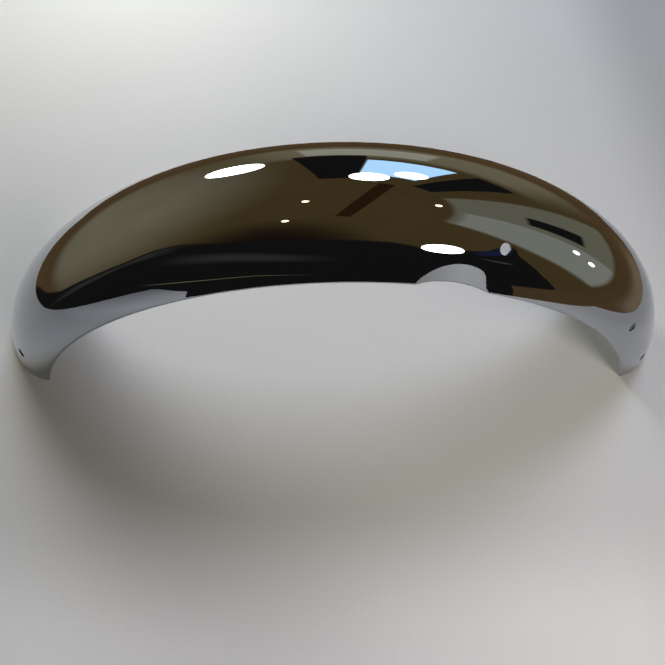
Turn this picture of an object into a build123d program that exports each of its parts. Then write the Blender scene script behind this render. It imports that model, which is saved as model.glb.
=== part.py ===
from build123d import *
from math import acos, atan2, cos, degrees, hypot, pi, radians, sin
import os

# Front mudguard for a motorcycle: one steel blade, pressed to a domed section that follows the wheel,
# with its edge turned in all round, a hollow for each fork leg and holes for the brackets and stays.
# It stands on its two ends. +X runs forward along the wheel, +Y across it and +Z up.
# The origin is midway between the two ends, on the surface that they stand on.

# Blade, in millimetres and degrees
crown_radius = 341.0        # wheel axle to the outside of the crown
axle_drop = 125.0           # height of the two ends above the wheel axle
blade_depth = 41.0          # crown to the lower edge of the sides
blade_width = 112.0         # over the two lower edges, before they are turned in
crown_arc_radius = 64.0     # crown of the section, seen along the wheel
crown_arc_angle = 35.0      # from the middle to where the crown turns into a side
sheet = 1.2                 # thickness of the steel

# Turned-in edge
hem_round = 2.4             # outside radius where the turn leaves the side
hem_curl = 2.2              # outside radius where it closes on the foot
hem_curl_angle = 120.0      # round the turn, where it changes from the first radius to the second
hem_land = 1.2              # flat foot inside the turn
hem_height = 6.0            # how far the edge reaches up the inside

# Fork hollows, one each side
fork_angle = 12.4           # of the fork legs round the wheel, from the top towards the front
hollow_radius = 80.0        # of the hollow that clears a leg
hollow_depth = 5.6          # of that hollow at the lower edge
hollow_lean = 9.0           # of its wall, towards the middle of the blade as it rises
hollow_round = 1.6          # outside radius of its rim, less than that of the turned-in edge

# Holes, in pairs, one on each side. A side angle runs down the section from the middle of the crown.
bracket_hole_diameter = 8.0
bracket_hole_lead = 4.4     # in front of the fork legs, as an angle round the wheel
bracket_hole_side = 36.8
stay_hole_diameter = 8.0
stay_hole_angle = 47.2      # round the wheel, from the top towards the front
stay_hole_side = 51.5
end_hole_diameter = 8.0
front_hole_inset = 25.0     # from the front end, along the blade
front_hole_side = 47.6
rear_hole_inset = 34.0      # from the rear end, along the blade
rear_hole_side = 41.0

# Worked out from the sizes above
edge_radius = crown_radius - blade_depth
half_width = blade_width / 2
hem_depth = hem_round + hem_land
half_turn = 180
axle = Axis((0, 0, -axle_drop), (0, 1, 0))
crown_centre = crown_radius - crown_arc_radius
edge_rise = edge_radius - crown_centre
turn = radians(crown_arc_angle)
# A side is the arc that leaves the crown without a kink and ends on the lower edge.
along_turn = half_width * sin(turn) + edge_rise * cos(turn)
edge_reach = hypot(half_width, edge_rise)
side_radius = (edge_reach**2 - 2 * crown_arc_radius * along_turn + crown_arc_radius**2) / (
    2 * (crown_arc_radius - along_turn)
)
side_centre_y = (crown_arc_radius - side_radius) * sin(turn)
side_centre_z = crown_centre + (crown_arc_radius - side_radius) * cos(turn)
edge_turn = atan2(half_width - side_centre_y, edge_radius - side_centre_z)
# The turned-in edge is two arcs that run into each other: the first leaves the side without a kink and the
# second ends flat on the foot.
curl_turn = radians(hem_curl_angle)
hem_centre_z = edge_radius + hem_curl - (hem_round - hem_curl) * cos(curl_turn)
hem_turn = acos((hem_centre_z - side_centre_z) / (side_radius - hem_round))
hem_centre_y = side_centre_y + (side_radius - hem_round) * sin(hem_turn)
curl_centre_y = hem_centre_y + (hem_round - hem_curl) * sin(curl_turn)
curl_centre_z = edge_radius + hem_curl


def side_point(angle, inset):
    """A point of the section's side arc: its distances from the middle and from the axle."""
    reach = side_radius - inset
    return side_centre_y + reach * sin(angle), side_centre_z + reach * cos(angle)


def hem_arc(centre, radius, first, last):
    """An arc of the turned-in edge between two angles."""
    angles = (first, (first + last) / 2, last)
    return ThreePointArc(*[(centre[0] + radius * sin(angle), centre[1] + radius * cos(angle)) for angle in angles])


def side_arc(last, inset):
    """A side of the section, from the crown to the angle last."""
    middle = (turn + last) / 2
    return ThreePointArc(*[side_point(angle, inset) for angle in (turn, middle, last)])


def round_the_wheel(side, inset):
    """A block over the wheel: the crown, drawn in by inset, with the curves of a side on both sides."""
    across, out = side_point(turn, inset)
    crown = ThreePointArc((-across, out), (0, crown_radius - inset), (across, out))
    other_side = [mirror(curve, about=Plane.YZ) for curve in side]
    foot = Line(side[-1] @ 1, other_side[-1] @ 1)
    section = Plane.YZ * Pos(0, -axle_drop) * make_face([crown, *side, *other_side, foot])
    return revolve(section.rotate(axle, -half_turn / 2), axis=axle, revolution_arc=half_turn)


def fork_hollows(inset):
    """The space kept clear for the two fork legs, grown by inset."""
    up_the_leg = Vector(sin(radians(fork_angle)), 0, cos(radians(fork_angle)))
    leg = Cylinder(hollow_radius + inset, 2 * crown_radius)
    lean = radians(hollow_lean)
    pair = []
    for way in (1, -1):
        sideways = Vector(0, way, 0)
        wall_foot = up_the_leg * edge_radius + sideways * (half_width - hollow_depth) + axle.position
        middle = wall_foot + (sideways * cos(lean) + up_the_leg * sin(lean)) * hollow_radius
        pair.append(Plane(middle, z_dir=up_the_leg * cos(lean) - sideways * sin(lean)) * leg)
    return pair


def outside():
    """The outside of the blade as a block, with its edge turned under and the fork hollows pressed in."""
    leaves = hem_arc((hem_centre_y, hem_centre_z), hem_round, hem_turn, curl_turn)
    closes = hem_arc((curl_centre_y, curl_centre_z), hem_curl, curl_turn, pi)
    whole = round_the_wheel([side_arc(hem_turn, 0), leaves, closes], 0)
    standing = split(whole, bisect_by=Plane.XY, keep=Keep.TOP)
    hollows = fork_hollows(0)
    pressed = standing - hollows
    return fillet(new_edges(standing, *hollows, combined=pressed), hollow_round)


def core(inset):
    """The block inside the blade, drawn in by inset, with its sides carried on below the foot."""
    side = side_arc(edge_turn, inset)
    slope = Vector(cos(edge_turn), -sin(edge_turn))
    carried_on = Line(side @ 1, side @ 1 + slope * hem_depth)
    return round_the_wheel([side, carried_on], inset) - fork_hollows(inset)


def inside():
    """The hollow of the blade above the turned-in edge."""
    hem_top = Cylinder(edge_radius + hem_height, 2 * blade_width, rotation=(90, 0, 0))
    hollow = core(sheet) - Pos(0, 0, -axle_drop) * hem_top
    return split(hollow, bisect_by=Plane.XY.offset(hem_height), keep=Keep.TOP)


def holes(diameter, angle, side_angle):
    """A pair of holes square to the two sides of the blade."""
    drill = Cylinder(diameter / 2, 2 * side_radius, align=(Align.CENTER, Align.CENTER, Align.MIN))
    pair = []
    for way in (1, -1):
        outwards = (0, way * sin(radians(side_angle)), cos(radians(side_angle)))
        centre = (0, way * side_centre_y, side_centre_z - axle_drop)
        pair.append((Plane(centre, z_dir=outwards) * drill).rotate(axle, angle))
    return pair


def angle_from_end(inset, side_angle):
    """The angle round the wheel, from the top, of a point at inset from an end of the blade."""
    from_wheel = side_point(radians(side_angle), 0)[1]
    return degrees(acos(axle_drop / from_wheel) - inset / from_wheel)


mudguard = outside() - core(hem_depth) - inside()
mudguard -= holes(bracket_hole_diameter, fork_angle + bracket_hole_lead, bracket_hole_side)
mudguard -= holes(stay_hole_diameter, stay_hole_angle, stay_hole_side)
mudguard -= holes(end_hole_diameter, angle_from_end(front_hole_inset, front_hole_side), front_hole_side)
mudguard -= holes(end_hole_diameter, -angle_from_end(rear_hole_inset, rear_hole_side), rear_hole_side)

os.makedirs("parts", exist_ok=True)
export_step(mudguard, "parts/mudguard.step")
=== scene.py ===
import bpy
from math import acos, cos, hypot, pi, radians, sin
from mathutils import Matrix, Vector

# A chromed front mudguard on a pale sheet, in soft studio light.
# Lengths are in metres and angles in degrees. +X runs to the right of the picture, +Y away and +Z up.
# An azimuth runs from +Y towards +X, and an elevation is above the horizon.

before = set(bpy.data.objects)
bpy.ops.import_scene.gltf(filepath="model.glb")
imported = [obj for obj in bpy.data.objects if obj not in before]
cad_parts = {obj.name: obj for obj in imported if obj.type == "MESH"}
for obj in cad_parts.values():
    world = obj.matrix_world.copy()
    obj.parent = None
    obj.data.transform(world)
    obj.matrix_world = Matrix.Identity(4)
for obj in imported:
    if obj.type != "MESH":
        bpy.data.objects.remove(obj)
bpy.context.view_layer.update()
scene = bpy.context.scene

# Section of the blade, round the wheel axle
axle_drop = 0.125               # the axle lies this far below the sheet
crown_radius = 0.341
crown_arc_radius = 0.064
crown_turn = radians(35)        # from the middle to where the crown turns into a side
edge_radius = 0.300
half_width = 0.056
hem_round = 0.0024              # outside radius of the turned-in edge where it leaves the side
hem_curl = 0.0022               # outside radius where it closes on the foot
hem_curl_turn = radians(120)    # round the edge, where it changes from the first radius to the second

# Where the section's exact normal takes over from the mesh's own, by the angle between the two and by depth.
# It starts at the first value and is full at the second.
shell_match = (16, 11)          # angle on the crown and sides
edge_match = (45, 35)           # angle on the turned-in edge
skin_depth = (0.0005, 0.0003)   # depth below the outside
# Cosine of that angle, where the outside's finish ends and where the inside's is full
inside_turn = (0.3, -0.3)

# Chrome
chrome_tones = ((0.415, 0.447, 0.488, 1), (0.430, 0.455, 0.484, 1))
chrome_reflectance = 0.45
haze_scale, haze_detail = 9.0, 4.0
haze_range, haze_roughness = (0.35, 0.75), (0.012, 0.030)
hairline_stretch, hairline_scale, hairline_detail = (60, 900, 60), 1.0, 2.0
hairline_range, hairline_roughness = (0.55, 0.8), (0.0, 0.015)
inside_roughness = 0.14
ripple_scale, ripple_detail = 45.0, 1.0
ripple_strength, ripple_height = 0.02, 0.0002

# Camera
image_size = 665
focal_pixels = 500.0
sensor_width = 36.0
camera_place = (-0.0312, -0.2206, 0.4515)
camera_yaw = 6.29
camera_pitch = 64.54
camera_roll = 5.51

# Sheet that the mudguard stands on
sheet_corners = [
    (-0.80, -0.88), (-0.64, -0.76), (-0.30, -0.43), (-0.225, -0.29), (0.115, -0.332), (0.27, -0.285),
    (0.54, -0.265), (0.49, 0.25), (-0.52, 0.33),
]
sheet_thickness = 0.0002        # the sheet's top lies this far above the floor
sheet_tones = ((0.66, 0.66, 0.66, 1), (0.72, 0.715, 0.705, 1))
sheet_roughness = 0.7
patchiness_scale, patchiness_detail = 4.0, 5.0
thread_across, thread_along = 0.0033, 0.0026    # from one thread of its weave to the next
share_across, share_along = 0.6, 0.4            # of the two sets of threads in the weave
weave_relief, weave_contrast = 0.25, 0.012
fibre_scale, fibre_detail = 700.0, 2.0
relief_strength, relief_height = 0.15, 0.0005
# Painted shade on the sheet: two places along X, and how much its colour is darkened at each
left_painted_shade_range = (-0.10, -0.50, 1.0, 0.87)
right_painted_shade_range = (0.32, 0.46, 1.0, 0.74)
front_painted_light_range = (-0.17, -0.27, 0.0, 0.3)         # painted light: two places along Y, and how much paler the sheet is painted at each
front_painted_light_fade = (0.32, 0.22)                       # along X, where that painted light starts and is full
floor_reach = 60.0
floor_corners = ((-1, -1), (1, -1), (1, 1), (-1, 1))
fade_start, fade_end = 0.75, 1.7                # distance where the sheet fades into the background
backdrop = (0.54, 0.545, 0.545, 1)

# Room that shows in the chrome. Its colours are those that it has there, from 0 to 255.
dome_radius, dome_steps = 9.0, 64
room_brown = (58, 46, 26)
# Tones over the brown: the azimuth and elevation of the middle, the cosines of the angles from it where the
# tone starts and is full, and the colour
room_tones = [
    (295, 15, 0.60, 1.08, (97, 91, 74)),
    (205, 42, 0.84, 1.00, (20, 14, 9)),
    (0, -90, 0.02, 0.16, (61, 47, 30)),
]
mottle_scale, mottle_detail = 2.5, 3.0
mottle_range, mottle_strength = (0.2, 0.8), (0.92, 1.08)
dark = (16, 15, 15)

# Plain panels: name, azimuths, elevations, colour, softness of the rim and distance
panels = [
    ("back_wall", (-28, 62), (-8, 24), (92, 85, 66), 0.25, 8.6),
    ("right_table", (56, 112), (-34, -9), (88, 75, 59), 0.3, 8.6),
    ("window", (8, 33), (25, 50), (176, 214, 244), 0.03, 8.0),
    ("left_blind", (-10, 8), (17, 57), dark, 0.03, 8.0),
    ("right_blind", (38, 52), (23, 57), dark, 0.03, 8.0),
    ("window_sill", (-7, 22), (1, 17), (128, 123, 108), 0.06, 8.0),
    ("right_wall", (62, 114), (-3, 58), (86, 83, 69), 0.05, 8.0),
    ("right_shelf", (88, 112), (-3, 55), (108, 107, 97), 0.06, 7.85),
    ("right_slot", (76, 85), (11, 34), dark, 0.1, 7.8),
]
panel_steps, shade_steps = 24, 32

# Panels with a shaped rim: azimuths with the lowest and highest elevation at each
front_shade = [
    (113, 31.5, 32.5), (118, 27.5, 32.7), (121, 25, 32.5), (123, 21.5, 32), (125, 15, 31.6), (128, 4, 31),
    (130, -8.5, 30.5), (132, -10, 30), (143, -13, 31.5), (146, -40, 33), (152, -45, 35), (160, -45, 44),
    (172, -45, 48), (190, -45, 49), (208, -45, 48), (224, -45, 45), (236, -42, 42), (245, -40, 38),
    (250, -40, 31), (252, -40, 20), (256, -40, 10), (259, -40, 4), (263, -40, -4), (270, -40, -9),
    (280, -40, -13), (292, -40, -22),
]
shade_edge = [
    (238, 28, 41), (245, 22, 36), (249, 14, 30), (251, 4, 19), (255, -5, 9), (258, -12, 3), (262, -20, -5),
]
dark_sheen = [(240, 16, 30), (226, 17, 32), (207, 16, 32), (189, 11, 26), (176, 8, 22)]
blue_gap = [(118, 28, 32), (126, 24, 31), (133, 23, 29.5), (140, 24, 27.5)]
light_strip = [(131, 14.5, 16), (134, 15, 17), (137, 17, 19.3), (141, 22, 23.5)]
bench_edge = [(227, -1.2, 0.2), (214, -4.2, -3.0), (204, -6.4, -5.4), (195, -7.2, -6.2), (180, -13.2, -12.0)]
# Name, rim, colour, softness, distance and steps from the lowest to the highest elevation
shaped_panels = [
    ("front_shade", front_shade, dark, 0.05, 7.9, shade_steps),
    ("shade_edge", shade_edge, (38, 37, 33), 0.3, 7.7, panel_steps),
    ("dark_sheen", dark_sheen, (38, 38, 34), 0.45, 7.7, panel_steps),
    ("blue_gap", blue_gap, (20, 25, 46), 0.25, 7.7, panel_steps),
    ("light_strip", light_strip, (66, 62, 64), 0.4, 7.7, panel_steps),
    ("bench_edge", bench_edge, (96, 88, 66), 0.3, 7.6, panel_steps),
]

# Round lamps: name, azimuth, elevation, the angle that it takes up, strength and colour
lamp_distance = 7.0
lamp_sides = 32
lamp_white, lamp_yellow = (255, 250, 245), (255, 225, 180)
lamps = [
    ("back_left_lamp", -25.5, 22.5, 14.5, 5.0, lamp_white),
    ("back_lamp", 13.5, 53, 11, 5.0, lamp_white),
    ("back_right_lamp", 27, 44, 9, 5.0, lamp_white),
    ("front_right_lamp", 146.3, 32.2, 12, 5.0, lamp_white),
    ("left_spot", -64, 78.6, 2.2, 3.0, lamp_yellow),
    ("front_spot", 225, 66.8, 2.2, 3.0, lamp_yellow),
    ("right_spot", 80, 61, 2.2, 3.0, lamp_yellow),
    ("upper_glint", 93, 15, 3.0, 1.5, lamp_white),
    ("lower_glint", 95, 8, 3.0, 1.5, lamp_white),
]

# Ceiling beam between two directions
beam_start, beam_end = (27, 60), (178, 76)
beam_half_width = 2.3
beam_distance = 8.0
beam_colour = (34, 20, 10)

# Light on the sheet: name, azimuth, elevation, distance, what it is aimed at, size, power and colour
sheet_lights = [
    ("back_left_light", -28, 32, 1.0, (-0.15, 0.1, 0), 0.35, 4.4, (0.99, 1.0, 0.90)),
    ("back_right_light", 20, 48, 2.6, (0, 0, 0), 0.9, 28.5, (0.76, 0.81, 1.0)),
    ("front_right_light", 147, 34, 1.1, (0.2, -0.15, 0), 0.5, 4.7, (1.0, 0.94, 0.84)),
]
sky_colour = (1.0, 0.75, 0.5, 1)
sky_strength = 0.012


def linear(red, green, blue):
    """A display colour, from 0 to 255, as linear light by the sRGB curve."""
    def channel(value):
        share = value / 255
        return share / 12.92 if share <= 0.04045 else ((share + 0.055) / 1.055) ** 2.4
    return channel(red), channel(green), channel(blue)


def direction(azimuth, elevation):
    """The unit vector that points that way from the object."""
    turn, rise = radians(azimuth), radians(elevation)
    return Vector((sin(turn) * cos(rise), cos(turn) * cos(rise), sin(rise)))


def new_object(name, points, faces, material):
    """A mesh object in the scene."""
    mesh = bpy.data.meshes.new(name)
    mesh.from_pydata(points, [], faces)
    mesh.materials.append(material)
    thing = bpy.data.objects.new(name, mesh)
    scene.collection.objects.link(thing)
    return thing


class Shading:
    """A node material that is built up step by step. Inputs are sockets or plain values."""

    def __init__(self, name):
        self.material = bpy.data.materials.new(name)
        self.material.use_nodes = True
        self.tree = self.material.node_tree
        self.tree.nodes.clear()
        self.output = self.tree.nodes.new("ShaderNodeOutputMaterial")

    def put(self, value, socket):
        """Sets a socket to a value, or links another socket to it."""
        if isinstance(value, bpy.types.NodeSocket):
            self.tree.links.new(value, socket)
        else:
            socket.default_value = value

    def node(self, kind, inputs, **settings):
        """A new node with its inputs, given by name or number."""
        made = self.tree.nodes.new("ShaderNode" + kind)
        for name, value in settings.items():
            setattr(made, name, value)
        for key, value in inputs.items():
            self.put(value, made.inputs[key])
        return made

    def math(self, operation, *values):
        """The result of a sum on plain numbers."""
        return self.node("Math", dict(enumerate(values)), operation=operation).outputs["Value"]

    def vector(self, operation, *values):
        """The result of a sum on vectors."""
        made = self.node("VectorMath", dict(enumerate(values)), operation=operation)
        return made.outputs["Value" if operation in ("DOT_PRODUCT", "LENGTH") else "Vector"]

    def fit(self, value, low, high, new_low=0.0, new_high=1.0):
        """A value moved smoothly from one range to another and kept inside it."""
        inputs = {"Value": value, "From Min": low, "From Max": high, "To Min": new_low, "To Max": new_high}
        return self.node("MapRange", inputs, interpolation_type="SMOOTHSTEP").outputs["Result"]

    def choose(self, share, first, second):
        """A blend of two numbers."""
        return self.math("MULTIPLY_ADD", share, self.math("SUBTRACT", second, first), first)

    def blend(self, share, first, second):
        """A blend of two colours or vectors."""
        inputs = {"Fac": share, "Color1": first, "Color2": second}
        return self.node("MixRGB", inputs).outputs["Color"]

    def noise(self, place, scale, detail):
        """A noise of that scale and detail."""
        inputs = {"Vector": place, "Scale": scale, "Detail": detail}
        return self.node("TexNoise", inputs).outputs["Fac"]

    def place(self):
        """Where the surface is, in the object's own frame."""
        return self.node("TexCoord", {}).outputs["Object"]

    def surface(self, shader):
        """Ends the material with that shader."""
        self.put(shader, self.output.inputs["Surface"])
        return self.material


# Chrome

def section_arcs():
    """The arcs of the section, and the angle where the side ends. One arc is for the crown, one for the side
    and two for the turned-in edge. An arc is its centre, across and out from the axle, and its radius."""
    crown_out = crown_radius - crown_arc_radius
    rise = edge_radius - crown_out
    along = half_width * sin(crown_turn) + rise * cos(crown_turn)
    reach = hypot(half_width, rise)
    side_radius = (reach**2 - 2 * crown_arc_radius * along + crown_arc_radius**2) / (
        2 * (crown_arc_radius - along)
    )
    side_across = (crown_arc_radius - side_radius) * sin(crown_turn)
    side_out = crown_out + (crown_arc_radius - side_radius) * cos(crown_turn)
    tightening = hem_round - hem_curl
    hem_out = edge_radius + hem_curl - tightening * cos(hem_curl_turn)
    hem_turn = acos((hem_out - side_out) / (side_radius - hem_round))
    hem_across = side_across + (side_radius - hem_round) * sin(hem_turn)
    crown = (0.0, crown_out, crown_arc_radius)
    side = (side_across, side_out, side_radius)
    hem = (hem_across, hem_out, hem_round)
    curl = (hem_across + tightening * sin(hem_curl_turn), edge_radius + hem_curl, hem_curl)
    return crown, side, hem, curl, hem_turn


def true_normal(shading, geometry):
    """The exact normal of the domed section, so that its reflections run without facets.
    Elsewhere, such as in the fork hollows and holes, it is the mesh's own."""
    crown, side, hem, curl, hem_turn = section_arcs()
    from_axle = shading.vector("ADD", geometry.outputs["Position"], (0, 0, axle_drop))
    parts = shading.node("SeparateXYZ", {"Vector": from_axle})
    across = shading.math("ABSOLUTE", parts.outputs["Y"])
    way = shading.math("SIGN", parts.outputs["Y"])
    level = shading.vector("MULTIPLY", from_axle, (1, 0, 1))
    out = shading.vector("LENGTH", level)
    out_way = shading.vector("NORMALIZE", level)

    def angle_round(centre):
        return shading.math("ARCTAN2", shading.math("SUBTRACT", across, centre[0]),
                            shading.math("SUBTRACT", out, centre[1]))
    on_side = shading.math("GREATER_THAN", angle_round(side), crown_turn)
    on_hem = shading.math("GREATER_THAN", angle_round(side), hem_turn)
    on_curl = shading.math("LESS_THAN", out, hem[1] + hem[2] * cos(hem_curl_turn))
    # Inside its arcs the turned-in edge runs on flat, so the centre keeps abreast of the surface there.
    flat_curl = (shading.math("MINIMUM", across, curl[0]), *curl[1:])
    arc = []
    for crown_value, side_value, hem_value, curl_value in zip(crown, side, hem, flat_curl):
        shell = shading.choose(on_side, crown_value, side_value)
        edge = shading.choose(on_curl, hem_value, curl_value)
        arc.append(shading.choose(on_hem, shell, edge))
    sideways = shading.math("MULTIPLY", way, shading.math("SUBTRACT", across, arc[0]))
    sideways = shading.node("CombineXYZ", {"Y": sideways}).outputs["Vector"]
    outwards = shading.node("VectorMath", {0: out_way, "Scale": shading.math("SUBTRACT", out, arc[1])},
                            operation="SCALE").outputs["Vector"]
    from_centre = shading.vector("ADD", sideways, outwards)
    exact = shading.vector("NORMALIZE", from_centre)
    depth = shading.math("SUBTRACT", arc[2], shading.vector("LENGTH", from_centre))
    likeness = shading.vector("DOT_PRODUCT", exact, geometry.outputs["True Normal"])
    facing = shading.node("VectorMath", {0: exact, "Scale": shading.math("SIGN", likeness)},
                          operation="SCALE").outputs["Vector"]
    low, high = (shading.choose(on_hem, cos(radians(shell)), cos(radians(edge)))
                 for shell, edge in zip(shell_match, edge_match))
    share = shading.fit(shading.math("ABSOLUTE", likeness), low, high)
    share = shading.math("MULTIPLY", share, shading.fit(depth, *skin_depth))
    normal = shading.blend(share, geometry.outputs["Normal"], facing)
    return normal, shading.fit(likeness, *inside_turn)


def chrome():
    """Bright plating, with faint haze, hairlines and a duller inside."""
    shading = Shading("chrome_plate")
    geometry = shading.node("NewGeometry", {})
    normal, inside = true_normal(shading, geometry)
    place = shading.place()
    haze = shading.noise(place, haze_scale, haze_detail)
    stretched = shading.vector("MULTIPLY", place, hairline_stretch)
    hairlines = shading.noise(stretched, hairline_scale, hairline_detail)
    rough = shading.math("ADD", shading.fit(haze, *haze_range, *haze_roughness),
                         shading.fit(hairlines, *hairline_range, *hairline_roughness))
    rough = shading.math("MULTIPLY_ADD", inside, inside_roughness, rough)
    ripple = shading.node("Bump", {
        "Strength": ripple_strength, "Distance": ripple_height,
        "Height": shading.noise(place, ripple_scale, ripple_detail), "Normal": normal})
    shader = shading.node("BsdfPrincipled", {
        "Base Color": shading.blend(haze, *chrome_tones), "Metallic": 1.0, "Roughness": rough,
        "Normal": ripple.outputs["Normal"]})
    return shading.surface(shader.outputs["BSDF"])


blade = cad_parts["mudguard"]
blade.data.materials.clear()
blade.data.materials.append(chrome())


# Sheet

def pale_sheet():
    """A matt white sheet with a fine weave, slightly uneven, with painted shade at its ends and painted
    light at the front.
    """
    shading = Shading("pale_sheet")
    place = shading.place()
    parts = shading.node("SeparateXYZ", {"Vector": place})
    threads = [shading.math("SINE", shading.math("MULTIPLY", parts.outputs[side], 2 * pi / spacing))
               for side, spacing in (("X", thread_across), ("Y", thread_along))]
    along = shading.math("MULTIPLY", threads[1], share_along)
    weave = shading.math("MULTIPLY_ADD", threads[0], share_across, along)
    fibres = shading.noise(place, fibre_scale, fibre_detail)
    height = shading.math("MULTIPLY_ADD", weave, weave_relief, fibres)
    tone = shading.blend(shading.noise(place, patchiness_scale, patchiness_detail), *sheet_tones)
    # Painted shade darkens the sheet's colour towards both ends, and painted light makes it paler at the
    # front.
    left_painted_shade = shading.fit(parts.outputs["X"], *left_painted_shade_range)
    right_painted_shade = shading.fit(parts.outputs["X"], *right_painted_shade_range)
    front_painted_light = shading.math("MULTIPLY_ADD", shading.fit(parts.outputs["Y"], *front_painted_light_range),
                             shading.fit(parts.outputs["X"], *front_painted_light_fade), 1.0)
    shade = shading.math("MULTIPLY", shading.math("MULTIPLY", left_painted_shade, right_painted_shade), front_painted_light)
    shade = shading.math("MULTIPLY", shade, shading.math("MULTIPLY_ADD", weave, weave_contrast, 1.0))
    colour = shading.node("VectorMath", {0: tone, "Scale": shade}, operation="SCALE").outputs["Vector"]
    bump = shading.node("Bump", {"Strength": relief_strength, "Distance": relief_height, "Height": height})
    shader = shading.node("BsdfPrincipled", {
        "Base Color": colour, "Roughness": sheet_roughness, "Normal": bump.outputs["Normal"]})
    # Far off, the camera sees the plain colour of the background, which gives no light.
    seen = shading.node("LightPath", {}).outputs["Is Camera Ray"]
    far_off = shading.fit(shading.vector("LENGTH", place), fade_start, fade_end)
    background = shading.node("Emission", {"Color": backdrop}).outputs["Emission"]
    share = shading.math("MULTIPLY", seen, far_off)
    mixed = shading.node("MixShader", {0: share, 1: shader.outputs["BSDF"], 2: background})
    return shading.surface(mixed.outputs["Shader"])


sheet_material = pale_sheet()
near_corners = [(x, y, 0) for x, y in sheet_corners]
far_corners = [(x * floor_reach, y * floor_reach, -sheet_thickness) for x, y in floor_corners]
near_sheet = new_object("near_sheet", near_corners, [tuple(range(len(near_corners)))], sheet_material)
# The floor under it goes on all round and isn't seen in the chrome.
far_sheet = new_object("far_sheet", far_corners, [(0, 1, 2, 3)], sheet_material)
far_sheet.visible_glossy = False


# Set that shows in the chrome

def reflected_only(thing):
    """The object shows in reflections, and neither in the picture nor in the light on the sheet."""
    thing.visible_camera = False
    thing.visible_diffuse = False
    thing.visible_shadow = False
    thing.visible_transmission = False


def glow(name, colour, strength=1.0, softness=0.0):
    """A light of one colour, given as it looks in the chrome, that fades out at its rim if it is soft."""
    shading = Shading(name)
    light = shading.node("Emission", {
        "Color": (*linear(*colour), 1), "Strength": strength / chrome_reflectance}).outputs["Emission"]
    if not softness:
        return shading.surface(light)
    across = shading.node("SeparateXYZ", {"Vector": shading.node("TexCoord", {}).outputs["UV"]})
    share = 1.0
    for side in ("X", "Y"):
        value = across.outputs[side]
        from_rim = shading.math("MINIMUM", value, shading.math("SUBTRACT", 1.0, value))
        share = shading.math("MULTIPLY", share, shading.fit(from_rim, 0.0, softness))
    clear = shading.node("BsdfTransparent", {}).outputs["BSDF"]
    return shading.surface(shading.node("MixShader", {0: share, 1: clear, 2: light}).outputs["Shader"])


def columns(azimuths, elevations, steps):
    """A plain piece of the sphere round the object: even azimuths, each with the same elevations."""
    first, last = azimuths
    return [(first + (last - first) * step / steps, *elevations) for step in range(steps + 1)]


def patch(name, sides, material, distance, steps):
    """A piece of a sphere round the object. A side is an azimuth with its lowest and highest elevation."""
    points = []
    chart = []
    for place, (azimuth, low, high) in enumerate(sides):
        for row in range(steps + 1):
            points.append(direction(azimuth, low + (high - low) * row / steps) * distance)
            chart.append((place / (len(sides) - 1), row / steps))
    along = steps + 1
    corners = [place * along + row for place in range(len(sides) - 1) for row in range(steps)]
    faces = [(corner, corner + along, corner + along + 1, corner + 1) for corner in corners]
    thing = new_object(name, points, faces, material)
    layer = thing.data.uv_layers.new()
    for loop in thing.data.loops:
        layer.data[loop.index].uv = chart[loop.vertex_index]
    reflected_only(thing)


def lamp(name, azimuth, elevation, size, strength, colour):
    """A round lamp, its size the angle that it takes up."""
    way = direction(azimuth, elevation)
    right = way.cross(Vector((0, 0, 1))).normalized()
    up = right.cross(way)
    radius = lamp_distance * radians(size) / 2
    points = [way * lamp_distance + radius * (right * cos(turn) + up * sin(turn))
              for turn in (radians(360 * side / lamp_sides) for side in range(lamp_sides))]
    reflected_only(new_object(name, points, [tuple(range(lamp_sides))], glow(name, colour, strength)))


def room():
    """Brown, but olive to the left, dark to the front and duller below the horizon."""
    shading = Shading("room")
    way = shading.vector("NORMALIZE", shading.place())
    colour = (*linear(*room_brown), 1)
    for azimuth, elevation, start, full, tone in room_tones:
        nearness = shading.vector("DOT_PRODUCT", way, direction(azimuth, elevation))
        colour = shading.blend(shading.fit(nearness, start, full), colour, (*linear(*tone), 1))
    mottle = shading.fit(shading.noise(way, mottle_scale, mottle_detail), *mottle_range, *mottle_strength)
    strength = shading.math("DIVIDE", mottle, chrome_reflectance)
    light = shading.node("Emission", {"Color": colour, "Strength": strength})
    return shading.surface(light.outputs["Emission"])


def ceiling_beam():
    """A straight beam across the ceiling."""
    start, end = direction(*beam_start), direction(*beam_end)
    aside = start.cross(end).normalized() * radians(beam_half_width)
    corners = [way * beam_distance for way in (start - aside, end - aside, end + aside, start + aside)]
    reflected_only(new_object("ceiling_beam", corners, [(0, 1, 2, 3)], glow("ceiling_beam", beam_colour)))


patch("room", columns((0, 360), (-90, 90), dome_steps), room(), dome_radius, dome_steps)
for name, azimuths, elevations, colour, softness, distance in panels:
    sides = columns(azimuths, elevations, panel_steps)
    patch(name, sides, glow(name, colour, softness=softness), distance, panel_steps)
for name, sides, colour, softness, distance, steps in shaped_panels:
    patch(name, sides, glow(name, colour, softness=softness), distance, steps)
for name, azimuth, elevation, size, strength, colour in lamps:
    lamp(name, azimuth, elevation, size, strength, colour)
ceiling_beam()


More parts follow.
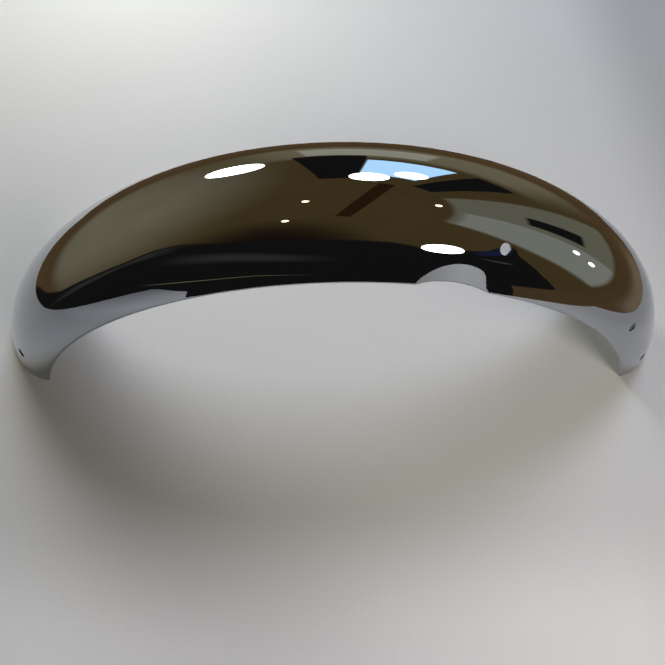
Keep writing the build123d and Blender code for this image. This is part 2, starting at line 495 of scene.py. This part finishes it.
# Light on the sheet

def area_light(name, place, aim, size, power, colour):
    """A square soft light that doesn't show in the chrome."""
    light = bpy.data.lights.new(name, "AREA")
    light.shape = "SQUARE"
    light.size = size
    light.energy = power
    light.color = colour
    thing = bpy.data.objects.new(name, light)
    thing.location = place
    thing.rotation_euler = (Vector(aim) - Vector(place)).to_track_quat("-Z", "Y").to_euler()
    thing.visible_glossy = False
    scene.collection.objects.link(thing)


for name, azimuth, elevation, distance, aim, size, power, colour in sheet_lights:
    area_light(name, direction(azimuth, elevation) * distance, aim, size, power, colour)
# The camera sees the background's plain colour, and everything else a faint warm light.
world = bpy.data.worlds.new("soft_light")
world.use_nodes = True
sky = world.node_tree
sky.nodes["Background"].inputs["Color"].default_value = sky_colour
sky.nodes["Background"].inputs["Strength"].default_value = sky_strength
pale = sky.nodes.new("ShaderNodeBackground")
pale.inputs["Color"].default_value = backdrop
seen = sky.nodes.new("ShaderNodeLightPath")
either = sky.nodes.new("ShaderNodeMixShader")
sky.links.new(seen.outputs["Is Camera Ray"], either.inputs[0])
sky.links.new(sky.nodes["Background"].outputs["Background"], either.inputs[1])
sky.links.new(pale.outputs["Background"], either.inputs[2])
sky.links.new(either.outputs["Shader"], sky.nodes["World Output"].inputs["Surface"])
scene.world = world
scene.view_settings.view_transform = "Standard"

# Camera

turn, tilt, lean = radians(camera_yaw), radians(camera_pitch), radians(camera_roll)
ahead = Vector((sin(turn) * cos(tilt), cos(turn) * cos(tilt), -sin(tilt)))
level_right = Vector((cos(turn), -sin(turn), 0))
level_up = level_right.cross(ahead)
right = cos(lean) * level_right + sin(lean) * level_up
up = -sin(lean) * level_right + cos(lean) * level_up
camera_data = bpy.data.cameras.new("camera")
camera_data.sensor_width = sensor_width
camera_data.lens = sensor_width * focal_pixels / image_size
camera = bpy.data.objects.new("camera", camera_data)
pose = Matrix((right, up, -ahead)).transposed().to_4x4()
pose.translation = Vector(camera_place)
camera.matrix_world = pose
scene.collection.objects.link(camera)
scene.camera = camera
